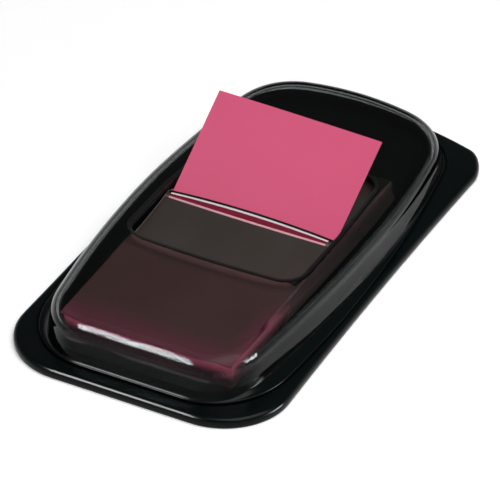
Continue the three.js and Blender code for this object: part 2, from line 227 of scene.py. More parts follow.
# %% Material with one Principled shader
def plain_material(name):
    material = bpy.data.materials.new(name)
    material.use_nodes = True
    nodes = material.node_tree.nodes
    return material, nodes, material.node_tree.links, nodes["Principled BSDF"]


def joined(material, operation, one, other):
    """The result of a Math node on two sockets."""
    part = material.node_tree.nodes.new("ShaderNodeMath")
    part.operation = operation
    material.node_tree.links.new(one, part.inputs[0])
    material.node_tree.links.new(other, part.inputs[1])
    return part.outputs[0]


# %% The sweep: a round table top whose rim curves up
SWEEP_RADIUS = 1.1
SWEEP_HEIGHT = 0.42
SWEEP_POINTS = 96
SWEEP_FLAT = 0.7  # share of the radius that is flat
SWEEP_BEND_STEPS = 12
SWEEP_WHITE = 0.88
SWEEP_GLOW = 0.34


def circle(radius, z):
    turns = [2 * math.pi * i / SWEEP_POINTS for i in range(SWEEP_POINTS)]
    return [Vector((radius * math.cos(t), radius * math.sin(t), z)) for t in turns]


def sweep():
    flat = SWEEP_RADIUS * SWEEP_FLAT
    bend = SWEEP_RADIUS - flat
    rings = [circle(SWEEP_RADIUS, SWEEP_HEIGHT)]
    for step in range(SWEEP_BEND_STEPS, 0, -1):
        angle = math.pi / 2 * step / SWEEP_BEND_STEPS
        rings.append(circle(flat + bend * math.sin(angle), bend * (1 - math.cos(angle))))
    rings += [circle(SWEEP_RADIUS * share, 0) for share in (SWEEP_FLAT, 0.5, 0.1)]
    floor = start_ring("sweep", rings[0])
    for ring in rings[1:]:
        next_ring(ring)
    bpy.ops.mesh.edge_face_add()
    clear_selection()
    floor.select_set(True)
    bpy.ops.object.shade_smooth()
    return floor


floor = sweep()
material, nodes, links, shader = plain_material("white_sweep")
shader.inputs["Base Color"].default_value = (SWEEP_WHITE, SWEEP_WHITE, SWEEP_WHITE, 1)
shader.inputs["Roughness"].default_value = 0.9
shader.inputs["Specular IOR Level"].default_value = 0
shader.inputs["Emission Color"].default_value = (1, 1, 1, 1)
path = nodes.new("ShaderNodeLightPath")
seen = path.outputs["Is Camera Ray"]
for ray in ("Is Glossy Ray", "Is Transmission Ray"):
    seen = joined(material, "MAXIMUM", seen, path.outputs[ray])
glow = nodes.new("ShaderNodeMath")
glow.operation = "MULTIPLY"
glow.inputs[1].default_value = SWEEP_GLOW
links.new(seen, glow.inputs[0])
links.new(glow.outputs[0], shader.inputs["Emission Strength"])
floor.data.materials.append(material)
print("the sweep has", len(floor.data.polygons), "faces")

# %% [markdown]
# ## Light
# Product lights are panels, because a small lamp would draw only a dot on gloss. A large one overhead
# lights everything. Two more show in reflections alone: a tall one at the front left draws the long
# bright line along the cover's front shoulder, and one at the right draws the patch on its corner. The
# sky is dim, so that the black plastic reflects little and stays black.

# %% Panels of light
def light_panel(name, towards, distance, width, height, watts, upright=(0, 0, 1)):
    """A panel at that direction from the dispenser, facing it. Its height runs along upright."""
    place = Vector(towards).normalized()
    clear_selection()
    bpy.ops.object.light_add(type="AREA", location=place * distance)
    panel = bpy.context.object
    panel.name = name
    panel.data.shape = "RECTANGLE"
    panel.data.size = width
    panel.data.size_y = height
    panel.data.energy = watts
    across = Vector(upright).cross(place).normalized()
    up = place.cross(across)
    panel.rotation_euler = Matrix((across, up, place)).transposed().to_euler()
    panel.visible_camera = False
    print(name, "radiance", round(watts / (math.pi * width * height), 2))
    return panel


front_left_panel = light_panel(
    "front_left_panel", towards=(-0.36, -0.69, 0.62), distance=0.40, width=0.05, height=0.22, watts=2.90,
    upright=(-0.15, 0.67, 0.64))
right_panel = light_panel(
    "right_panel", towards=(0.96, 0.24, 0.14), distance=0.40, width=0.16, height=0.11, watts=2.8)
for panel in (front_left_panel, right_panel):
    panel.visible_diffuse = False
light_panel("top_panel", towards=(0.35, -0.10, 0.93), distance=0.60, width=0.50, height=0.50, watts=3.2)

SKY = 0.11
world = bpy.data.worlds.new("dim_studio")
bpy.context.scene.world = world
world.use_nodes = True
sky = world.node_tree.nodes["Background"]
sky.inputs["Color"].default_value = (1, 1, 1, 1)
sky.inputs["Strength"].default_value = SKY
bpy.context.scene.view_settings.view_transform = "Standard"

# %% [markdown]
# ## Shared effects
# Handled plastic is never equally shiny all over, and no moulded or printed surface is one flat colour.
# Three effects serve every finish here: a soft mottle moves a value between two limits, two near tones
# drift into each other, and a fine grain gives a height for a bump. A picture of a surface would fit one
# view only. These are made of noise in object coordinates, so they stay on the piece from every side.


# %% A node group with named sockets, and the noise inside it
def effect_group(name, sockets):
    group = bpy.data.node_groups.new(name, "ShaderNodeTree")
    for label, kind, way, value in sockets:
        socket = group.interface.new_socket(name=label, in_out=way, socket_type=kind)
        if value is not None:
            socket.default_value = value
    nodes = group.nodes
    return group, nodes, group.links, nodes.new("NodeGroupInput"), nodes.new("NodeGroupOutput")


def noise_on_piece(nodes, links, given, detail):
    """Noise in object coordinates, at the group's scale."""
    place = nodes.new("ShaderNodeTexCoord")
    noise = nodes.new("ShaderNodeTexNoise")
    noise.inputs["Detail"].default_value = detail
    links.new(place.outputs["Object"], noise.inputs["Vector"])
    links.new(given.outputs["Scale"], noise.inputs["Scale"])
    return noise.outputs["Fac"]


# %% Mottle: a value that wanders between two limits
def mottle_group():
    group, nodes, links, given, out = effect_group("mottle", [
        ("Scale", "NodeSocketFloat", "INPUT", 120.0),
        ("Low", "NodeSocketFloat", "INPUT", 0.1),
        ("High", "NodeSocketFloat", "INPUT", 0.2),
        ("Value", "NodeSocketFloat", "OUTPUT", None),
    ])
    noise = noise_on_piece(nodes, links, given, 4)
    spread = nodes.new("ShaderNodeMapRange")
    spread.inputs["From Min"].default_value = 0.3
    spread.inputs["From Max"].default_value = 0.7
    links.new(noise, spread.inputs["Value"])
    links.new(given.outputs["Low"], spread.inputs["To Min"])
    links.new(given.outputs["High"], spread.inputs["To Max"])
    links.new(spread.outputs["Result"], out.inputs["Value"])
    return group


# %% Two tones: a colour that drifts between two near shades
def tones_group():
    group, nodes, links, given, out = effect_group("two_tones", [
        ("Scale", "NodeSocketFloat", "INPUT", 60.0),
        ("Shade A", "NodeSocketColor", "INPUT", (0.5, 0.5, 0.5, 1)),
        ("Shade B", "NodeSocketColor", "INPUT", (0.6, 0.6, 0.6, 1)),
        ("Color", "NodeSocketColor", "OUTPUT", None),
    ])
    noise = noise_on_piece(nodes, links, given, 3)
    mix = nodes.new("ShaderNodeMix")
    mix.data_type = "RGBA"
    links.new(noise, mix.inputs["Factor"])
    links.new(given.outputs["Shade A"], mix.inputs["A"])
    links.new(given.outputs["Shade B"], mix.inputs["B"])
    links.new(mix.outputs["Result"], out.inputs["Color"])
    return group


# %% Fine grain: a height for the bump of film
def grain_group():
    group, nodes, links, given, out = effect_group("fine_grain", [
        ("Scale", "NodeSocketFloat", "INPUT", 2500.0),
        ("Height", "NodeSocketFloat", "OUTPUT", None),
    ])
    links.new(noise_on_piece(nodes, links, given, 2), out.inputs["Height"])
    return group


MOTTLE = mottle_group()
TONES = tones_group()
GRAIN = grain_group()
print("shared effects:", MOTTLE.name, TONES.name, GRAIN.name)


# %% [markdown]
# ## From effects to a finish
# Each finish is one Principled shader whose colour and roughness come from the shared effects. Built by
# hand in every material, the same nodes would repeat many times. One function makes them from two near
# shades, two limits of roughness and a grain. Three more let a value change along a piece.

# %% Place an effect in a material
ROUGH_SCALE = 120
GRAIN_DEPTH = 0.02 * MM


def principled(material):
    return material.node_tree.nodes["Principled BSDF"]


def add_effect(material, group, **values):
    node = material.node_tree.nodes.new("ShaderNodeGroup")
    node.node_tree = group
    for label, value in values.items():
        node.inputs[label.replace("_", " ")].default_value = value
    return node


def surface(name, shade_a, shade_b, rough, tone_scale=60, grain=None, bump=0.0):
    """A material with two near shades, a mottled roughness between two limits, and a fine bump."""
    material, nodes, links, shader = plain_material(name)
    tones = add_effect(material, TONES, Scale=tone_scale, Shade_A=(*shade_a, 1), Shade_B=(*shade_b, 1))
    mottle = add_effect(material, MOTTLE, Scale=ROUGH_SCALE, Low=rough[0], High=rough[1])
    links.new(tones.outputs["Color"], shader.inputs["Base Color"])
    links.new(mottle.outputs["Value"], shader.inputs["Roughness"])
    if grain:
        heights = add_effect(material, GRAIN, Scale=grain)
        relief = nodes.new("ShaderNodeBump")
        relief.inputs["Strength"].default_value = bump
        relief.inputs["Distance"].default_value = GRAIN_DEPTH
        links.new(heights.outputs["Height"], relief.inputs["Height"])
        links.new(relief.outputs["Normal"], shader.inputs["Normal"])
    print("finish:", name)
    return material


# %% A value that changes along the piece, and a colour that follows a value
def along(material, axis, start, end, low=0.0, high=1.0):
    """A value that goes smoothly from low to high between two places on the piece."""
    nodes = material.node_tree.nodes
    links = material.node_tree.links
    place = nodes.new("ShaderNodeTexCoord")
    split = nodes.new("ShaderNodeSeparateXYZ")
    part = nodes.new("ShaderNodeMapRange")
    part.interpolation_type = "SMOOTHSTEP"
    part.inputs["From Min"].default_value = start
    part.inputs["From Max"].default_value = end
    part.inputs["To Min"].default_value = low
    part.inputs["To Max"].default_value = high
    links.new(place.outputs["Object"], split.inputs["Vector"])
    links.new(split.outputs[axis], part.inputs["Value"])
    return part.outputs["Result"]


def drift_to(material, factor, colour):
    """The base colour goes over to another one as the factor grows."""
    links = material.node_tree.links
    base_colour = principled(material).inputs["Base Color"]
    before = base_colour.links[0].from_socket
    mix = material.node_tree.nodes.new("ShaderNodeMix")
    mix.data_type = "RGBA"
    mix.inputs["B"].default_value = (*colour, 1)
    links.new(factor, mix.inputs["Factor"])
    links.new(before, mix.inputs["A"])
    links.new(mix.outputs["Result"], base_colour)


# %% [markdown]
# ## Black plastic
# The base is glossy black moulded plastic. One black for all of it would look painted, so it drifts
# between two near blacks, and its gloss wanders a little. Its reflections are weak, which keeps it deep
# black.

# %% Black base plastic
BLACK_A = (0.0016, 0.0034, 0.0034)
BLACK_B = (0.0028, 0.0052, 0.0052)
BLACK_ROUGH = (0.16, 0.24)
black_plastic = surface("black_plastic", BLACK_A, BLACK_B, BLACK_ROUGH, tone_scale=90)
principled(black_plastic).inputs["IOR"].default_value = 1.49
principled(black_plastic).inputs["Specular IOR Level"].default_value = 0.1

# %% [markdown]
# ## Smoked clear plastic
# The cover is clear plastic with smoke-coloured dye in it, so what lies under it shows dimly and its
# edges look black. A dark surface colour alone would be equally dark everywhere. Here the dye is a volume
# that takes up light on its way, and the surface darkens where it is seen edge-on. Light from a panel
# doesn't pass a clear solid in this renderer, so shadow rays see the cover as a tinted pane.

# %% Smoked clear plastic
SMOKE_A = (0.76, 0.78, 0.78)
SMOKE_B = (0.82, 0.84, 0.84)
SMOKE_COLOUR = (0.02, 0.06, 0.06)
SMOKE_DENSITY = 520
SMOKE_BLACK = (0.002, 0.003, 0.003)
PANE_TINT = 0.92
STEEP = 0.30  # the surface starts to darken where it faces away by this share
GRAZING = 0.62  # and it is black from here on


def darker_at_grazing(material):
    """Seen edge-on, light has a long way through the smoked wall, so the tint runs to black there."""
    nodes = material.node_tree.nodes
    weight = nodes.new("ShaderNodeLayerWeight")
    weight.inputs["Blend"].default_value = 0.5
    depth = nodes.new("ShaderNodeMapRange")
    depth.inputs["From Min"].default_value = STEEP
    depth.inputs["From Max"].default_value = GRAZING
    material.node_tree.links.new(weight.outputs["Facing"], depth.inputs["Value"])
    drift_to(material, depth.outputs["Result"], SMOKE_BLACK)


def smoke_inside(material):
    """The dye lies in the plastic itself, so a long way through it, as along an edge, comes out black."""
    nodes = material.node_tree.nodes
    smoke = nodes.new("ShaderNodeVolumeAbsorption")
    smoke.inputs["Color"].default_value = (*SMOKE_COLOUR, 1)
    smoke.inputs["Density"].default_value = SMOKE_DENSITY
    material.node_tree.links.new(smoke.outputs["Volume"], nodes["Material Output"].inputs["Volume"])


def see_through_for_lamps(material):
    """Shadow rays and diffuse bounces pass the clear plastic as a tinted pane."""
    nodes = material.node_tree.nodes
    links = material.node_tree.links
    path = nodes.new("ShaderNodeLightPath")
    lamp_ray = joined(material, "MAXIMUM", path.outputs["Is Shadow Ray"], path.outputs["Is Diffuse Ray"])
    pane = nodes.new("ShaderNodeBsdfTransparent")
    pane.inputs["Color"].default_value = (PANE_TINT, PANE_TINT, PANE_TINT, 1)
    mix = nodes.new("ShaderNodeMixShader")
    links.new(lamp_ray, mix.inputs["Fac"])
    links.new(principled(material).outputs[0], mix.inputs[1])
    links.new(pane.outputs[0], mix.inputs[2])
    links.new(mix.outputs[0], nodes["Material Output"].inputs["Surface"])


# %% The clear cover, and its black parts
smoked_plastic = surface("smoked_plastic", SMOKE_A, SMOKE_B, (0.01, 0.03))
shader = principled(smoked_plastic)
shader.inputs["IOR"].default_value = 1.4
shader.inputs["Specular IOR Level"].default_value = 0.2
shader.inputs["Specular Tint"].default_value = (0.16, 0.18, 0.18, 1)
shader.inputs["Transmission Weight"].default_value = 1
darker_at_grazing(smoked_plastic)
smoke_inside(smoked_plastic)
see_through_for_lamps(smoked_plastic)

# A near-black finish for the window's edge, which is partly seen through much dye and partly painted
# shade, and for painted shadow in the slit under the lip.
black_edge_and_painted_shade = surface("black_edge_and_painted_shade", (0.003, 0.004, 0.004), (0.007, 0.008, 0.008), (0.3, 0.4))
principled(black_edge_and_painted_shade).inputs["Specular IOR Level"].default_value = 0.15
smoked_foot = surface("smoked_foot", BLACK_A, BLACK_B, BLACK_ROUGH)
principled(smoked_foot).inputs["Specular IOR Level"].default_value = 0.1

# %% [markdown]
# ## Films
# The sleeve is thin brown-grey film. Near the pad's front edge, and near its right edge towards the front,
# its colour is painted to drift to pink: a painted glow, in place of the pink pad seen through the cover's
# curved shoulder. Beside the pad's front it is nearly clear. Two materials with a line between them would
# show a step. The tabs are fluorescent film, which gives off some light at its cut edges. Here the pad's
# ends have a fixed painted glow, strongest at the top, and are painted darker towards the bottom as
# painted shade.

# %% Films of the sleeve
PAINTED_GLOW_FRONT = 5.5 * MM
PAINTED_GLOW_SIDE = 3.2 * MM
PAINTED_GLOW_RUN = 12 * MM
CLEAR_RUN = 7 * MM
SIDE_OPACITY = 0.55
FRONT_OPACITY = 0.12
sleeve_film = surface(
    "sleeve_film", (0.034, 0.026, 0.022), (0.042, 0.032, 0.027), (0.30, 0.42), grain=1800, bump=0.15)

red_film = surface("red_film", (0.29, 0.135, 0.130), (0.37, 0.175, 0.170), (0.30, 0.42), tone_scale=150)
# Painted glow: the film turns pink near the pad's front edge, and near its right edge towards the front.
painted_front_glow = along(red_film, "Y", sleeve_low.y + PAINTED_GLOW_FRONT, sleeve_low.y)
painted_side_glow = along(red_film, "X", sleeve_high.x - PAINTED_GLOW_SIDE, sleeve_high.x)
forward = along(red_film, "Y", WINDOW_FRONT, WINDOW_FRONT - PAINTED_GLOW_RUN)
painted_edge_glow = joined(red_film, "MAXIMUM", painted_front_glow, joined(red_film, "MULTIPLY", painted_side_glow, forward))
drift_to(red_film, painted_edge_glow, (0.55, 0.15, 0.21))

side_film = surface("side_film", (0.27, 0.21, 0.19), (0.35, 0.27, 0.24), (0.25, 0.35))
forward = along(side_film, "Y", WINDOW_FRONT, WINDOW_FRONT - CLEAR_RUN)
drift_to(side_film, forward, (0.65, 0.24, 0.28))
opacity = along(side_film, "Y", WINDOW_FRONT, WINDOW_FRONT - CLEAR_RUN, SIDE_OPACITY, FRONT_OPACITY)
side_film.node_tree.links.new(opacity, principled(side_film).inputs["Alpha"])

lip_film = surface("lip_film", (0.17, 0.010, 0.028), (0.23, 0.014, 0.038), (0.12, 0.2))
# Painted highlights: near-white and pale pink for the lip's two edges, in place of the light they catch.
lip_highlight_film = surface("lip_highlight_film", (0.78, 0.70, 0.74), (0.90, 0.84, 0.87), (0.2, 0.3))
fold_highlight_film = surface("fold_highlight_film", (0.80, 0.34, 0.42), (0.90, 0.50, 0.56), (0.2, 0.3))

# %% Films of the tabs
# Strength of the painted glow at the top of the pad's ends.
PAINTED_EDGE_GLOW = 0.2
SHADE_FROM = pad_high.z
SHADE_TO = pad_low.z + 0.25 * (pad_high.z - pad_low.z)
tab_film = surface(
    "tab_film", (0.72, 0.076, 0.195), (0.80, 0.090, 0.220), (0.50, 0.60), grain=3500, bump=0.25)
principled(tab_film).inputs["Specular IOR Level"].default_value = 0.25
tab_ends = surface("tab_ends", (0.70, 0.15, 0.26), (0.80, 0.20, 0.33), (0.5, 0.7), tone_scale=900)
clear_ends = surface("clear_ends", (0.63, 0.19, 0.27), (0.73, 0.25, 0.33), (0.4, 0.6), tone_scale=900)
# Painted shade: the ends darken towards the bottom of the pad. Painted glow: they give off a fixed light
# that fades from the top down.
for ends in (tab_ends, clear_ends):
    drift_to(ends, along(ends, "Z", SHADE_FROM, SHADE_TO), (0.10, 0.02, 0.03))
    principled(ends).inputs["Emission Color"].default_value = (1, 0.25, 0.42, 1)
    painted_glow = along(ends, "Z", SHADE_FROM, SHADE_TO, PAINTED_EDGE_GLOW, 0)
    ends.node_tree.links.new(painted_glow, principled(ends).inputs["Emission Strength"])

# %% [markdown]
# ## Outlines
# Seen from above, the base, the cover's foot and its wall share one kind of outline: a straight front,
# rounded corners, sides that bow out, and a softly arched rear. A bevelled rectangle would have straight
# sides. So half of the outline is drawn with curves that run into each other, and then mirrored.

# %% Half an outline, mirrored
FRONT_STEPS = 16
CORNER_STEPS = 20
SIDE_STEPS = 20
REAR_STEPS = 14
ROUND = 0.55  # how far a handle reaches along a quarter round


def bezier(start, handle_a, handle_b, end, steps):
    corners = [Vector(p).to_3d() for p in (start, handle_a, handle_b, end)]
    return interpolate_bezier(*corners, steps + 1)[:steps]


def straight(start, end, steps):
    return bezier(start, start.lerp(end, 0.33), start.lerp(end, 0.67), end, steps)


def reach(here, there, dx, dy):
    """A handle from here in direction dx, dy, a third of the way to there."""
    return here + Vector((dx, dy)).normalized() * ((there - here).length / 3)


def mirrored(right, left=None):
    """Closes an outline: its right half, and the left half, which is the same unless it is given."""
    other = [Vector((-p.x, p.y, 0)) for p in reversed((left or right)[1:-1])]
    return right + other


def half_outline(front, rear, half, belly_y, front_narrow, rear_narrow, front_corner, rear_corner,
                 rear_bow):
    shoulder_front = Vector((half - front_narrow, front + front_corner))
    belly = Vector((half, belly_y))
    shoulder_rear = Vector((half - rear_narrow, rear - rear_bow - rear_corner))
    front_flat = Vector((shoulder_front.x - front_corner, front))
    rear_flat = Vector((shoulder_rear.x - rear_corner, rear - rear_bow * ROUND))
    front_lean = 2 * front_narrow / (belly.y - shoulder_front.y)
    rear_lean = 2 * rear_narrow / (shoulder_rear.y - belly.y)
    rear_slope = 2 * (rear - rear_flat.y) / rear_flat.x
    middle_front = Vector((0, front))
    middle_rear = Vector((0, rear))
    turn = front_corner * ROUND
    right = bezier(middle_front, reach(middle_front, front_flat, 1, 0),
                   reach(front_flat, middle_front, -1, 0), front_flat, FRONT_STEPS)
    right += bezier(front_flat, front_flat + Vector((turn, 0)),
                    shoulder_front - Vector((turn * front_lean, turn)), shoulder_front, CORNER_STEPS)
    right += bezier(shoulder_front, reach(shoulder_front, belly, front_lean, 1),
                    reach(belly, shoulder_front, 0, -1), belly, SIDE_STEPS)
    right += bezier(belly, reach(belly, shoulder_rear, 0, 1),
                    reach(shoulder_rear, belly, rear_lean, -1), shoulder_rear, SIDE_STEPS)
    turn = rear_corner * ROUND
    right += bezier(shoulder_rear, shoulder_rear + Vector((-turn * rear_lean, turn)),
                    rear_flat + Vector((turn, -turn * rear_slope)), rear_flat, CORNER_STEPS)
    right += bezier(rear_flat, reach(rear_flat, middle_rear, -1, rear_slope),
                    reach(middle_rear, rear_flat, 1, 0), middle_rear, REAR_STEPS)
    return right + [middle_rear.to_3d()]


# %% Move an outline inwards, and lift it to a height
def inset(points, distance):
    count = len(points)
    moved = []
    for i, point in enumerate(points):
        way = (points[(i + 1) % count] - points[i - 1]).normalized()
        moved.append(point + Vector((-way.y, way.x, 0)) * distance)
    return moved


def level(points, z):
    return [Vector((p.x, p.y, z)) for p in points]


def between(ring_a, ring_b, share):
    return [a.lerp(b, share) for a, b in zip(ring_a, ring_b)]


# %% [markdown]
# ## Base plate
# A flat plate, 1.5 mm thick, with a round top edge that catches a thin line of light. The cover's foot
# stands in a shallow groove. A bevel and a boolean could make both, but their faces would be uneven.
# Instead the chain of rings runs up the side, over the rounded edge, down into the groove and out again,
# and the flat middle closes it.

# %% Outlines of the base and the cover
FLANGE_FRONT = 0.4 * MM
FLANGE_SIDE = 1.05 * MM
FLANGE_REAR = 0.35 * MM
BASE_ROUND = 0.75 * MM
BASE_FOOT_ROUND = 0.3 * MM
BASE_ROUND_STEPS = 10
GROOVE_EDGE = 0.08 * MM
CAP_INSET = 1 * MM  # a last ring inside the flat middle, which keeps its big face off the edges
SEAT_CLEARANCE = 0.3 * MM
WALL = 1.1 * MM
BASE_TOP = base_high.z
SEAT_FLOOR = cover_low.z

BASE_HALF = base_high.x - 0.4 * MM
WAIST_Y = SLIT_FRONT + 2.0 * MM
base_sizes = dict(
    front=base_low.y, rear=base_high.y, half=BASE_HALF, belly_y=WAIST_Y, front_narrow=-0.4 * MM,
    rear_narrow=-0.4 * MM, front_corner=9.8 * MM, rear_corner=3.2 * MM, rear_bow=5.0 * MM)
left_sizes = dict(rear_narrow=2.3 * MM, rear_corner=9.0 * MM, rear_bow=1.7 * MM)
base_outline = mirrored(half_outline(**base_sizes), half_outline(**{**base_sizes, **left_sizes}))
foot_outline = mirrored(half_outline(
    front=cover_low.y, rear=cover_high.y, half=cover_high.x, belly_y=SLIT_FRONT - 7.0 * MM,
    front_narrow=0.8 * MM, rear_narrow=2.75 * MM, front_corner=10.6 * MM, rear_corner=8.4 * MM,
    rear_bow=1.6 * MM))
wall_outline = mirrored(half_outline(
    front=cover_low.y + FLANGE_FRONT, rear=cover_high.y - FLANGE_REAR, half=cover_high.x - FLANGE_SIDE,
    belly_y=WAIST_Y, front_narrow=2.0 * MM, rear_narrow=1.7 * MM, front_corner=7.6 * MM,
    rear_corner=8.4 * MM, rear_bow=1.6 * MM))
print("points in an outline:", len(base_outline))


# %% Rings of the base
MID_ROUND = 0.3  # the middle of a quarter round lies this share of its radius inside


def quarter_round(points, radius, z_low, steps):
    """Rings over a rounded edge: from the side at z_low to the top, moved inwards by the radius."""
    rings = []
    for step in range(steps + 1):
        angle = math.pi / 2 * step / steps
        ring = inset(points, radius * (1 - math.cos(angle)))
        rings.append(level(ring, z_low + radius * math.sin(angle)))
    return rings


def base_rings():
    edge = GROOVE_EDGE
    rings = [level(inset(base_outline, BASE_FOOT_ROUND + CAP_INSET), 0)]
    rings += [level(inset(base_outline, BASE_FOOT_ROUND), 0)]
    rings += [level(inset(base_outline, BASE_FOOT_ROUND * MID_ROUND), BASE_FOOT_ROUND * MID_ROUND)]
    rings += [level(base_outline, BASE_FOOT_ROUND)]
    rings += quarter_round(base_outline, BASE_ROUND, BASE_TOP - BASE_ROUND, BASE_ROUND_STEPS)
    outer_seat = inset(foot_outline, -SEAT_CLEARANCE)
    inner_seat = inset(wall_outline, WALL + SEAT_CLEARANCE)
    rings += [level(inset(outer_seat, -edge), BASE_TOP), level(outer_seat, BASE_TOP - edge)]
    rings += [level(outer_seat, SEAT_FLOOR + edge), level(inset(outer_seat, edge), SEAT_FLOOR)]
    rings += [level(inset(inner_seat, -edge), SEAT_FLOOR), level(inner_seat, SEAT_FLOOR + edge)]
    rings += [level(inner_seat, BASE_TOP - edge), level(inset(inner_seat, edge), BASE_TOP)]
    rings += [level(inset(inner_seat, CAP_INSET), BASE_TOP)]
    return rings


base_plate = chain("base_plate_finish", base_rings(), "caps")
finish_piece(base_plate, [black_plastic], "base_plate")

# %% [markdown]
# ## Cover
# A thin dome, moulded in one piece: a low flange round its foot, walls that lean in, a round shoulder and
# a nearly flat top that falls towards the rear. The top has a window. A cube with a bevel and Solidify
# would come close, but not follow the falling top. So its outer skin is drawn from the foot up to the
# window, and the chain then turns over the window's edge and runs back down inside, one wall further in.

# %% Height of the cover's top along its length
CREST = cover_high.z - 0.14 * MM  # the crown adds to it
TOP_DIP = 0.1 * MM
AT_PAD_END = 5.99 * MM
AT_REAR = 5.85 * MM
SHOULDER = 2.2 * MM
DRAFT = 0.6 * MM
CROWN = 0.2 * MM
FLANGE_EDGE = 0.3 * MM
FLANGE_RISE = 0.75 * MM

front_wall_y = cover_low.y + FLANGE_FRONT
rear_wall_y = cover_high.y - FLANGE_REAR
top_points = [
    (front_wall_y, CREST - TOP_DIP),
    ((front_wall_y + WINDOW_FRONT) / 2, CREST),
    (WINDOW_FRONT, CREST - TOP_DIP),
    (SLIT_FRONT, (CREST * 2 + AT_PAD_END) / 3),
    (pad_high.y, AT_PAD_END),
    (rear_wall_y, AT_REAR),
]


def top_height(y):
    """Height of the cover's middle line at y: a smooth curve through the points above."""
    y = min(max(y, top_points[0][0]), top_points[-1][0] - 0.001 * MM)
    i = max(k for k in range(len(top_points) - 1) if top_points[k][0] <= y)
    (y1, z1), (y2, z2) = top_points[i], top_points[i + 1]
    y0, z0 = top_points[i - 1] if i > 0 else (2 * y1 - y2, 2 * z1 - z2)
    y3, z3 = top_points[i + 2] if i + 2 < len(top_points) else (2 * y2 - y1, 2 * z2 - z1)
    slope_1 = (z2 - z0) / (y2 - y0)
    slope_2 = (z3 - z1) / (y3 - y1)
    t = (y - y1) / (y2 - y1)
    run = y2 - y1
    return ((2 * t ** 3 - 3 * t ** 2 + 1) * z1 + (t ** 3 - 2 * t ** 2 + t) * run * slope_1
            + (3 * t ** 2 - 2 * t ** 3) * z2 + (t ** 3 - t ** 2) * run * slope_2)


def crown(x):
    """The top is a little higher in its middle than at its sides."""
    return CROWN * max(0.0, 1 - (x / (cover_high.x - FLANGE_SIDE - DRAFT - SHOULDER)) ** 2)


# %% The window's outline, with as many points as the cover's
WINDOW_REAR = SLIT_FRONT + 15.8 * MM
WINDOW_HALF = pad_high.x + 0.5 * MM
WINDOW_REAR_HALF = WINDOW_HALF - 0.9 * MM
WINDOW_CORNER = 3.2 * MM
WINDOW_FRONT_BOW = 0.4 * MM
# How far round the window the top is painted black, as painted shade of the gap under its edge.
WINDOW_SHADE_BAND = 0.6 * MM
FRONT_SLOPE = 0.06


def window_outline():
    front_flat = Vector((WINDOW_HALF - WINDOW_CORNER, WINDOW_FRONT))
    front_side = Vector((WINDOW_HALF, WINDOW_FRONT + WINDOW_CORNER))
    waist = Vector((WINDOW_HALF, SLIT_FRONT))
    rear_side = Vector((WINDOW_REAR_HALF, WINDOW_REAR - WINDOW_CORNER))
    rear_flat = Vector((WINDOW_REAR_HALF - WINDOW_CORNER, WINDOW_REAR))
    front = Vector((0, WINDOW_FRONT - WINDOW_FRONT_BOW))
    rear = Vector((0, WINDOW_REAR))
    turn = WINDOW_CORNER * ROUND
    right = bezier(front, reach(front, front_flat, 1, 0),
                   reach(front_flat, front, -1, -FRONT_SLOPE), front_flat, FRONT_STEPS)
    right += bezier(front_flat, front_flat + Vector((turn, turn * FRONT_SLOPE)),
                    front_side - Vector((0, turn)), front_side, CORNER_STEPS)
    right += straight(front_side, waist, SIDE_STEPS)
    right += straight(waist, rear_side, SIDE_STEPS)
    right += bezier(rear_side, rear_side + Vector((0, turn)), rear_flat + Vector((turn, 0)), rear_flat,
                    CORNER_STEPS)
    right += straight(rear_flat, rear, REAR_STEPS)
    return mirrored(right + [rear.to_3d()])


# %% Rings of one skin of the cover
def on_top(points, drop):
    return [Vector((p.x, p.y, top_height(p.y) + crown(p.x) - drop)) for p in points]


def wall_and_shoulder(wall, foot_z, wall_steps, shoulder_steps):
    """Rings from the foot of the wall up to the edge of the flat top, that far inside the outer skin."""
    rings = []
    for step in range(wall_steps):
        share = step / wall_steps
        ring = inset(wall_outline, wall + DRAFT * share)
        rings.append([Vector((p.x, p.y, foot_z + (top_height(p.y) - SHOULDER - foot_z) * share))
                      for p in ring])
    radius = SHOULDER - wall
    for step in range(shoulder_steps + 1):
        angle = math.pi / 2 * step / shoulder_steps
        ring = inset(wall_outline, wall + DRAFT + radius * (1 - math.cos(angle)))
        rings.append([Vector((p.x, p.y, top_height(p.y) - SHOULDER + radius * math.sin(angle)
                              + crown(p.x) * math.sin(angle) ** 4)) for p in ring])
    return rings


# %% The whole chain of the cover
COVER_EDGE = 0.12 * MM
FLANGE_SWEEP = 0.6
FLANGE_CURVE = 2.2
OUTER_STEPS = (5, 24)  # rings up the wall, and rings round the shoulder
INNER_STEPS = (6, 8)
TOP_RINGS = 13
INNER_TOP_RINGS = 12


def flange_rings(start, end):
    """Rings that sweep up from the flange to the wall's foot."""
    height = start[0].z
    return [[Vector((p.x, p.y, height + FLANGE_RISE * FLANGE_SWEEP * share ** FLANGE_CURVE))
             for p in between(start, end, share)] for share in (0.35, 0.6, 0.8, 0.92, 0.98)]


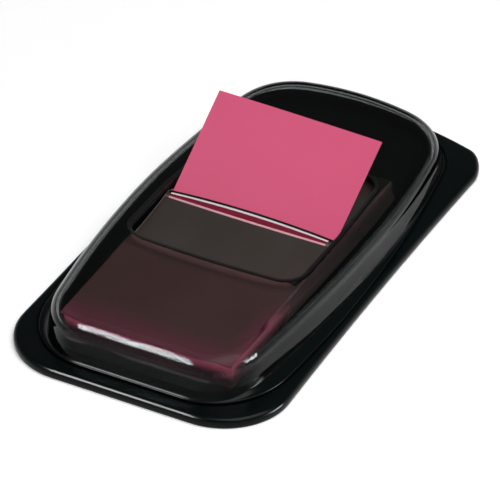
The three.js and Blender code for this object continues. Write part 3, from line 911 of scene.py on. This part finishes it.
def cover_rings():
    edge = COVER_EDGE
    flange_top = BASE_TOP + FLANGE_EDGE
    rings = [level(inset(foot_outline, edge), SEAT_FLOOR), level(foot_outline, SEAT_FLOOR + edge)]
    rings += quarter_round(foot_outline, edge, flange_top - edge, 4)
    outer = wall_and_shoulder(0, BASE_TOP + FLANGE_RISE, *OUTER_STEPS)
    rings += flange_rings(rings[-1], outer[0]) + outer
    window = window_outline()
    band = inset(window, -WINDOW_SHADE_BAND)
    rings += [on_top(between(outer[-1], band, step / TOP_RINGS), 0) for step in range(1, TOP_RINGS + 1)]
    rings += [on_top(inset(window, -edge), 0)]
    near = edge * MID_ROUND
    rings += [on_top(inset(window, -near), near), on_top(window, edge)]
    rings += [on_top(window, WALL - edge), on_top(inset(window, -near), WALL - near)]
    inner = wall_and_shoulder(WALL, SEAT_FLOOR, *INNER_STEPS)
    inner.reverse()
    rim = inset(window, -edge)
    rings += [on_top(between(rim, inner[0], step / INNER_TOP_RINGS), WALL)
              for step in range(INNER_TOP_RINGS)]
    rings += inner
    return rings


cover = chain("cover_finish", cover_rings(), "loop")
for material in (smoked_plastic, black_edge_and_painted_shade, smoked_foot):
    cover.data.materials.append(material)


# %% [markdown]
# ## Black parts of the cover
# The cover's foot meets the black base all round, and the window's wall and rim are seen through a long
# way of smoked plastic. Both look black. A narrow band of the top round the window is painted black too:
# painted shade of the gap under the window's edge. They could be left to the clear finish, but light
# bounces many times in such thin parts and would leave noise. So their faces get a black finish.

# %% The foot, and the window's wall and rim
FOOT_TOP = BASE_TOP + FLANGE_RISE + 0.1 * MM
# The window's wall, its rim and a band of the top round it are painted black: the wall is seen through
# much dye, and the band is painted shade of the gap under the edge.
RIM_AND_SHADE_REACH = WINDOW_SHADE_BAND * 0.9
window_points = [p.xy for p in window_outline()]


def is_window_rim_and_painted_shade(face):
    centre = face.calc_center_median()
    aside = abs(centre.x) > WINDOW_HALF + WINDOW_SHADE_BAND or centre.y > WINDOW_REAR + WINDOW_SHADE_BAND
    if aside or centre.z < AT_PAD_END - WALL:
        return False
    return min((centre.xy - p).length for p in window_points) < RIM_AND_SHADE_REACH


def is_foot(face):
    return face.calc_center_median().z < FOOT_TOP


paint_faces(cover, 1, is_window_rim_and_painted_shade)
paint_faces(cover, 2, is_foot)
finish_piece(cover, [], "cover")

# %% [markdown]
# ## Pad of tabs
# Each tab is a strip of film, half pink and half clear. Every second strip lies the other way round and a
# little further back, so pink and clear edges take turns at each end. One block would show no layers
# there. Each strip is a cube that is stretched and cut across, and a loop stacks them. The real pad has
# more and thinner ones.

# %% One strip, and the stack
PAD_STRIPS = 20
STRIP_SHARE = 0.99


def pad_top_drop(y):
    """How much the pad's top face has fallen at y, as a share of its thickness."""
    share = min(max((y - PAD_LEVEL_TO) / (pad_high.y - PAD_LEVEL_TO), 0), 1)
    return PAD_REAR_DROP * share / (pad_high.z - pad_low.z)


def pad_strip(index):
    pitch = (pad_high.z - pad_low.z) / PAD_STRIPS
    start = pad_low.y + (PAD_STAGGER if index % 2 else 0)
    clear_selection()
    bpy.ops.mesh.primitive_cube_add(
        size=1, location=(0, start + TAB_LENGTH / 2, pad_low.z + pitch * (index + 0.5)))
    strip = bpy.context.object
    strip.scale = (pad_high.x - pad_low.x, TAB_LENGTH, pitch * STRIP_SHARE)
    bpy.ops.object.transform_apply(location=True, rotation=False, scale=True)
    strip.data.materials.append(tab_ends)
    strip.data.materials.append(clear_ends)
    bpy.ops.object.mode_set(mode="EDIT")
    for y in (start + TAB_LENGTH / 2, PAD_LEVEL_TO):
        bpy.ops.mesh.select_all(action="SELECT")
        bpy.ops.mesh.bisect(plane_co=(0, y, 0), plane_no=(0, 1, 0))
    bpy.ops.object.mode_set(mode="OBJECT")
    for face in strip.data.polygons:
        at_rear = face.center.y > start + TAB_LENGTH / 2
        face.material_index = int(at_rear) if index % 2 == 0 else int(not at_rear)
    for vertex in strip.data.vertices:
        vertex.co.z -= (vertex.co.z - pad_low.z) * pad_top_drop(vertex.co.y)
    return strip


strips = [pad_strip(i) for i in range(PAD_STRIPS)]
clear_selection()
for strip in strips:
    strip.select_set(True)
bpy.context.view_layer.objects.active = strips[0]
bpy.ops.object.join()
tab_pad = bpy.context.object
tab_pad.name = tab_pad.data.name = "tab_pad_finish"
finish_piece(tab_pad, [], "tab_pad", smooth_below=20)

# %% [markdown]
# ## Film sleeve
# The refill comes wrapped in a film sleeve. Over the front half its top rises as a tongue to a bowed lip,
# and the tab comes out of the slit behind it. A scaled box would be flat there. So the cross-section is
# drawn as a ring that is extruded from front to rear, the faces over the slit are taken out, and Solidify
# gives the film its thickness.

# %% Shape of the sleeve's top
FILM = 0.16 * MM
TONGUE_RUN = 11.5 * MM
LIP_SIDE_RISE = 0.75 * MM
LIP_MIDDLE_RISE = 1.35 * MM
SLEEVE_GAP = 0.25 * MM
SLEEVE_HALF = sleeve_high.x
LIP_BAND_SIDE = 1.35 * MM
LIP_BAND_MIDDLE = 1.9 * MM
LIP_HEM = 0.5 * MM
SLEEVE_ROUND = 0.45 * MM
LIP_END = 0.95 * MM
TOP_COLUMNS = 48
BOTTOM_COLUMNS = 8
SIDE_ARC = 5
TONGUE_STEPS = 24
LIP_STEPS = 6
LIP_BULGE = 0.12 * MM
SLIT_MARGIN = 0.1 * MM


def lip_band(u):
    """Width of the band in front of the lip, across the tab: u runs from -1 to 1."""
    return LIP_BAND_SIDE + (LIP_BAND_MIDDLE - LIP_BAND_SIDE) * (1 - u * u)


def tongue_top(u, y):
    """Height of the sleeve's top in front of the slit."""
    lift = min(max((y - SLIT_FRONT + TONGUE_RUN) / TONGUE_RUN, 0), 1) ** 2
    bow = LIP_SIDE_RISE + (LIP_MIDDLE_RISE - LIP_SIDE_RISE) * (1 - u * u)
    return pad_high.z + TAB_THICKNESS + SLEEVE_GAP + FILM + bow * lift


def rear_top(y):
    return (pad_high.z - pad_top_drop(y) * (pad_high.z - pad_low.z)
            + TAB_THICKNESS + SLEEVE_GAP + FILM)


# %% One cross-section of the sleeve
def sleeve_section(y_bottom, top_point):
    """A ring: along the bottom, round the right side, over the top and down the left side."""
    radius = SLEEVE_ROUND
    inner = SLEEVE_HALF - radius
    bottom = BASE_TOP
    ring = [Vector((inner * (2 * i / BOTTOM_COLUMNS - 1), y_bottom, bottom))
            for i in range(BOTTOM_COLUMNS + 1)]
    side_z = top_point(1)[1]
    turn = [math.pi / 2 * i / SIDE_ARC for i in range(1, SIDE_ARC + 1)]
    right = [(inner + radius * math.sin(a), bottom + radius * (1 - math.cos(a))) for a in turn]
    right += [(inner + radius * math.cos(a), side_z - radius * (1 - math.sin(a))) for a in [0] + turn[:-1]]
    ring += [Vector((x, y_bottom, z)) for x, z in right]
    for column in range(TOP_COLUMNS + 1):
        u = 1 - 2 * column / TOP_COLUMNS
        y, z = top_point(u)
        ring.append(Vector((inner * u, y, z)))
    ring += [Vector((-x, y_bottom, z)) for x, z in reversed(right)]
    return ring


# %% The sleeve from front to rear
def sleeve_rings():
    rings = [sleeve_section(sleeve_low.y, lambda u: (sleeve_low.y, tongue_top(u, sleeve_low.y)))]
    tongue_start = SLIT_FRONT - TONGUE_RUN
    for step in range(TONGUE_STEPS + 1):
        share = step / TONGUE_STEPS

        def tongue(u, share=share):
            y = tongue_start + (TONGUE_RUN - lip_band(u)) * share
            return y, tongue_top(u, y)

        rings.append(sleeve_section(tongue_start + (TONGUE_RUN - LIP_BAND_SIDE) * share, tongue))
    for step in range(1, LIP_STEPS + 2):
        share = min(step / LIP_STEPS, 1)
        hem = LIP_HEM if step <= LIP_STEPS else 0

        def lip(u, share=share, hem=hem):
            y = SLIT_FRONT - hem - (lip_band(u) - LIP_HEM) * (1 - share)
            return y, tongue_top(u, y) + LIP_BULGE * math.sin(math.pi * share)

        rings.append(sleeve_section(SLIT_FRONT - hem - (LIP_BAND_SIDE - LIP_HEM) * (1 - share), lip))
    for y in (SLIT_FRONT + SLIT_LENGTH, PAD_LEVEL_TO, (PAD_LEVEL_TO + sleeve_high.y) / 2, sleeve_high.y):
        rings.append(sleeve_section(y, lambda u, y=y: (y, rear_top(y))))
    return rings


film_sleeve = chain("film_sleeve_finish", sleeve_rings(), "open")

# %% [markdown]
# ## Parts of the sleeve
# One film has several looks: a grey-brown tongue in the window, a redder part in front of it with a
# painted pink glow, clear sides, a red band behind the lip's lower line, and a black strip at the slit's
# front, which is painted shadow of the gap under the lip. They could be separate objects, but their
# borders would gap. So the faces of one mesh are told apart by place, and each part gets its finish.

# %% Tell the parts apart by their place
def is_over_slit(face):
    centre = face.calc_center_median()
    return (SLIT_FRONT < centre.y < SLIT_FRONT + SLIT_LENGTH and centre.z > pad_high.z
            and abs(centre.x) < pad_high.x - SLIT_MARGIN)


def top_share(centre):
    return min(abs(centre.x) / (SLEEVE_HALF - SLEEVE_ROUND), 1)


def is_on_top(face):
    return face.normal.z > 0.9 and face.calc_center_median().z > pad_high.z - PAD_REAR_DROP


def is_front_of_window(face):
    return is_on_top(face) and face.calc_center_median().y < WINDOW_FRONT


def is_tongue(face):
    return is_on_top(face) and face.calc_center_median().y > WINDOW_FRONT


def is_lip_band(face):
    centre = face.calc_center_median()
    band = lip_band(top_share(centre))
    inside = abs(centre.x) < SLEEVE_HALF - LIP_END
    return inside and is_on_top(face) and SLIT_FRONT - band < centre.y < SLIT_FRONT - LIP_HEM


# The strip just in front of the slit is painted black: painted shadow of the gap where the tab comes out
# under the lip.
def is_lip_hem_shade(face):
    centre = face.calc_center_median()
    return is_on_top(face) and SLIT_FRONT - LIP_HEM < centre.y < SLIT_FRONT


# %% Take out the slit, and colour the parts
print("slit faces:", select_faces(film_sleeve, is_over_slit))
bpy.ops.mesh.delete(type="FACE")
bpy.ops.mesh.select_mode(type="FACE")
bpy.ops.mesh.select_all(action="SELECT")
bpy.ops.mesh.normals_make_consistent(inside=False)
film_sleeve.data.materials.append(side_film)
zones = [(red_film, is_front_of_window), (sleeve_film, is_tongue), (lip_film, is_lip_band),
         (black_edge_and_painted_shade, is_lip_hem_shade)]
for index, (material, test) in enumerate(zones, start=1):
    film_sleeve.data.materials.append(material)
    paint_faces(film_sleeve, index, test)

# %% Give the film its thickness
bpy.ops.object.mode_set(mode="OBJECT")
thicken(film_sleeve, FILM, offset=-1)
finish_piece(film_sleeve, [], "film_sleeve")

# %% [markdown]
# ## The bright edges of the lip
# A cut or folded edge of clear film catches light as a bright line. Two such lines run across the lip, one
# where the brown film ends and one on the lip itself. Painted on the film, they would be flat. Each is a
# path with a small round section, turned into a mesh, and its pale colour is a painted highlight.

# %% Two thin edges
EDGE_POINTS = 33
LIP_EDGE_RADIUS = 0.2 * MM
LIP_EDGE_BACK = 0.12 * MM
FOLD_EDGE_RADIUS = 0.18 * MM


def film_line(name, points, radius, finish):
    clear_selection()
    bpy.ops.curve.primitive_nurbs_path_add()
    line = bpy.context.object
    line.name = line.data.name = name
    line.data.splines.clear()
    spline = line.data.splines.new("POLY")
    spline.points.add(len(points) - 1)
    for knot, point in zip(spline.points, points):
        knot.co = (*point, 1)
    line.data.bevel_depth = radius
    line.data.bevel_resolution = 3
    line.data.use_fill_caps = True
    line.location = (0, 0, 0)
    bpy.ops.object.convert(target="MESH")
    finish_piece(line, [finish], "film_sleeve")


def across_lip(in_front):
    """Points across the sleeve, that far in front of the slit: in_front gives it for u from -1 to 1."""
    points = []
    for i in range(EDGE_POINTS):
        u = 2 * i / (EDGE_POINTS - 1) - 1
        y = SLIT_FRONT - in_front(u)
        points.append(Vector(((SLEEVE_HALF - LIP_END) * u, y, tongue_top(u, y))))
    return points


film_line("lip_edge_highlight", across_lip(lambda u: LIP_HEM + LIP_EDGE_BACK), LIP_EDGE_RADIUS, lip_highlight_film)
film_line("fold_edge_highlight", across_lip(lip_band), FOLD_EDGE_RADIUS, fold_highlight_film)

# %% [markdown]
# ## Raised tab
# The next tab to be pulled lies on the pad, bends at the slit and leans back out of the window. One
# corner hangs a little. A flat sheet with a bend modifier would stretch at the bend. So a grid is laid
# along the tab's path by its length, and Solidify gives it the film's thickness.

# %% Path of the tab, by its length from where the bend starts
TAB_LEAN = math.radians(31.3)
TAB_BEND = 4.0 * MM
TAB_SHOWN = 18.3 * MM
TAB_CURL = 0.5 * MM
TAB_GRID = (24, 90)
bend_start = SLIT_FRONT - TAB_BEND * math.tan(TAB_LEAN / 2)


def tab_path(run):
    """y and z of the film's lower face at a length run after the bend starts."""
    if run < 0:
        return bend_start + run, pad_high.z
    angle = min(run / TAB_BEND, TAB_LEAN)
    y = bend_start + TAB_BEND * math.sin(angle)
    z = pad_high.z + TAB_BEND * (1 - math.cos(angle))
    beyond = max(run - TAB_BEND * TAB_LEAN, 0)
    return y + beyond * math.cos(TAB_LEAN), z + beyond * math.sin(TAB_LEAN)


# %% Lay a grid along the path
clear_selection()
bpy.ops.mesh.primitive_grid_add(x_subdivisions=TAB_GRID[0], y_subdivisions=TAB_GRID[1], size=1)
raised_tab = bpy.context.object
raised_tab.name = raised_tab.data.name = "raised_tab_finish"
for vertex in raised_tab.data.vertices:
    run = TAB_SHOWN - (0.5 - vertex.co.y) * TAB_LENGTH
    y, z = tab_path(run)
    if run > 0:
        z -= TAB_CURL * (vertex.co.x + 0.5) ** 1.5 * (run / TAB_SHOWN)
    vertex.co = (vertex.co.x * (tab_high.x - tab_low.x), y, z)
thicken(raised_tab, TAB_THICKNESS, offset=1)
finish_piece(raised_tab, [tab_film], "raised_tab")
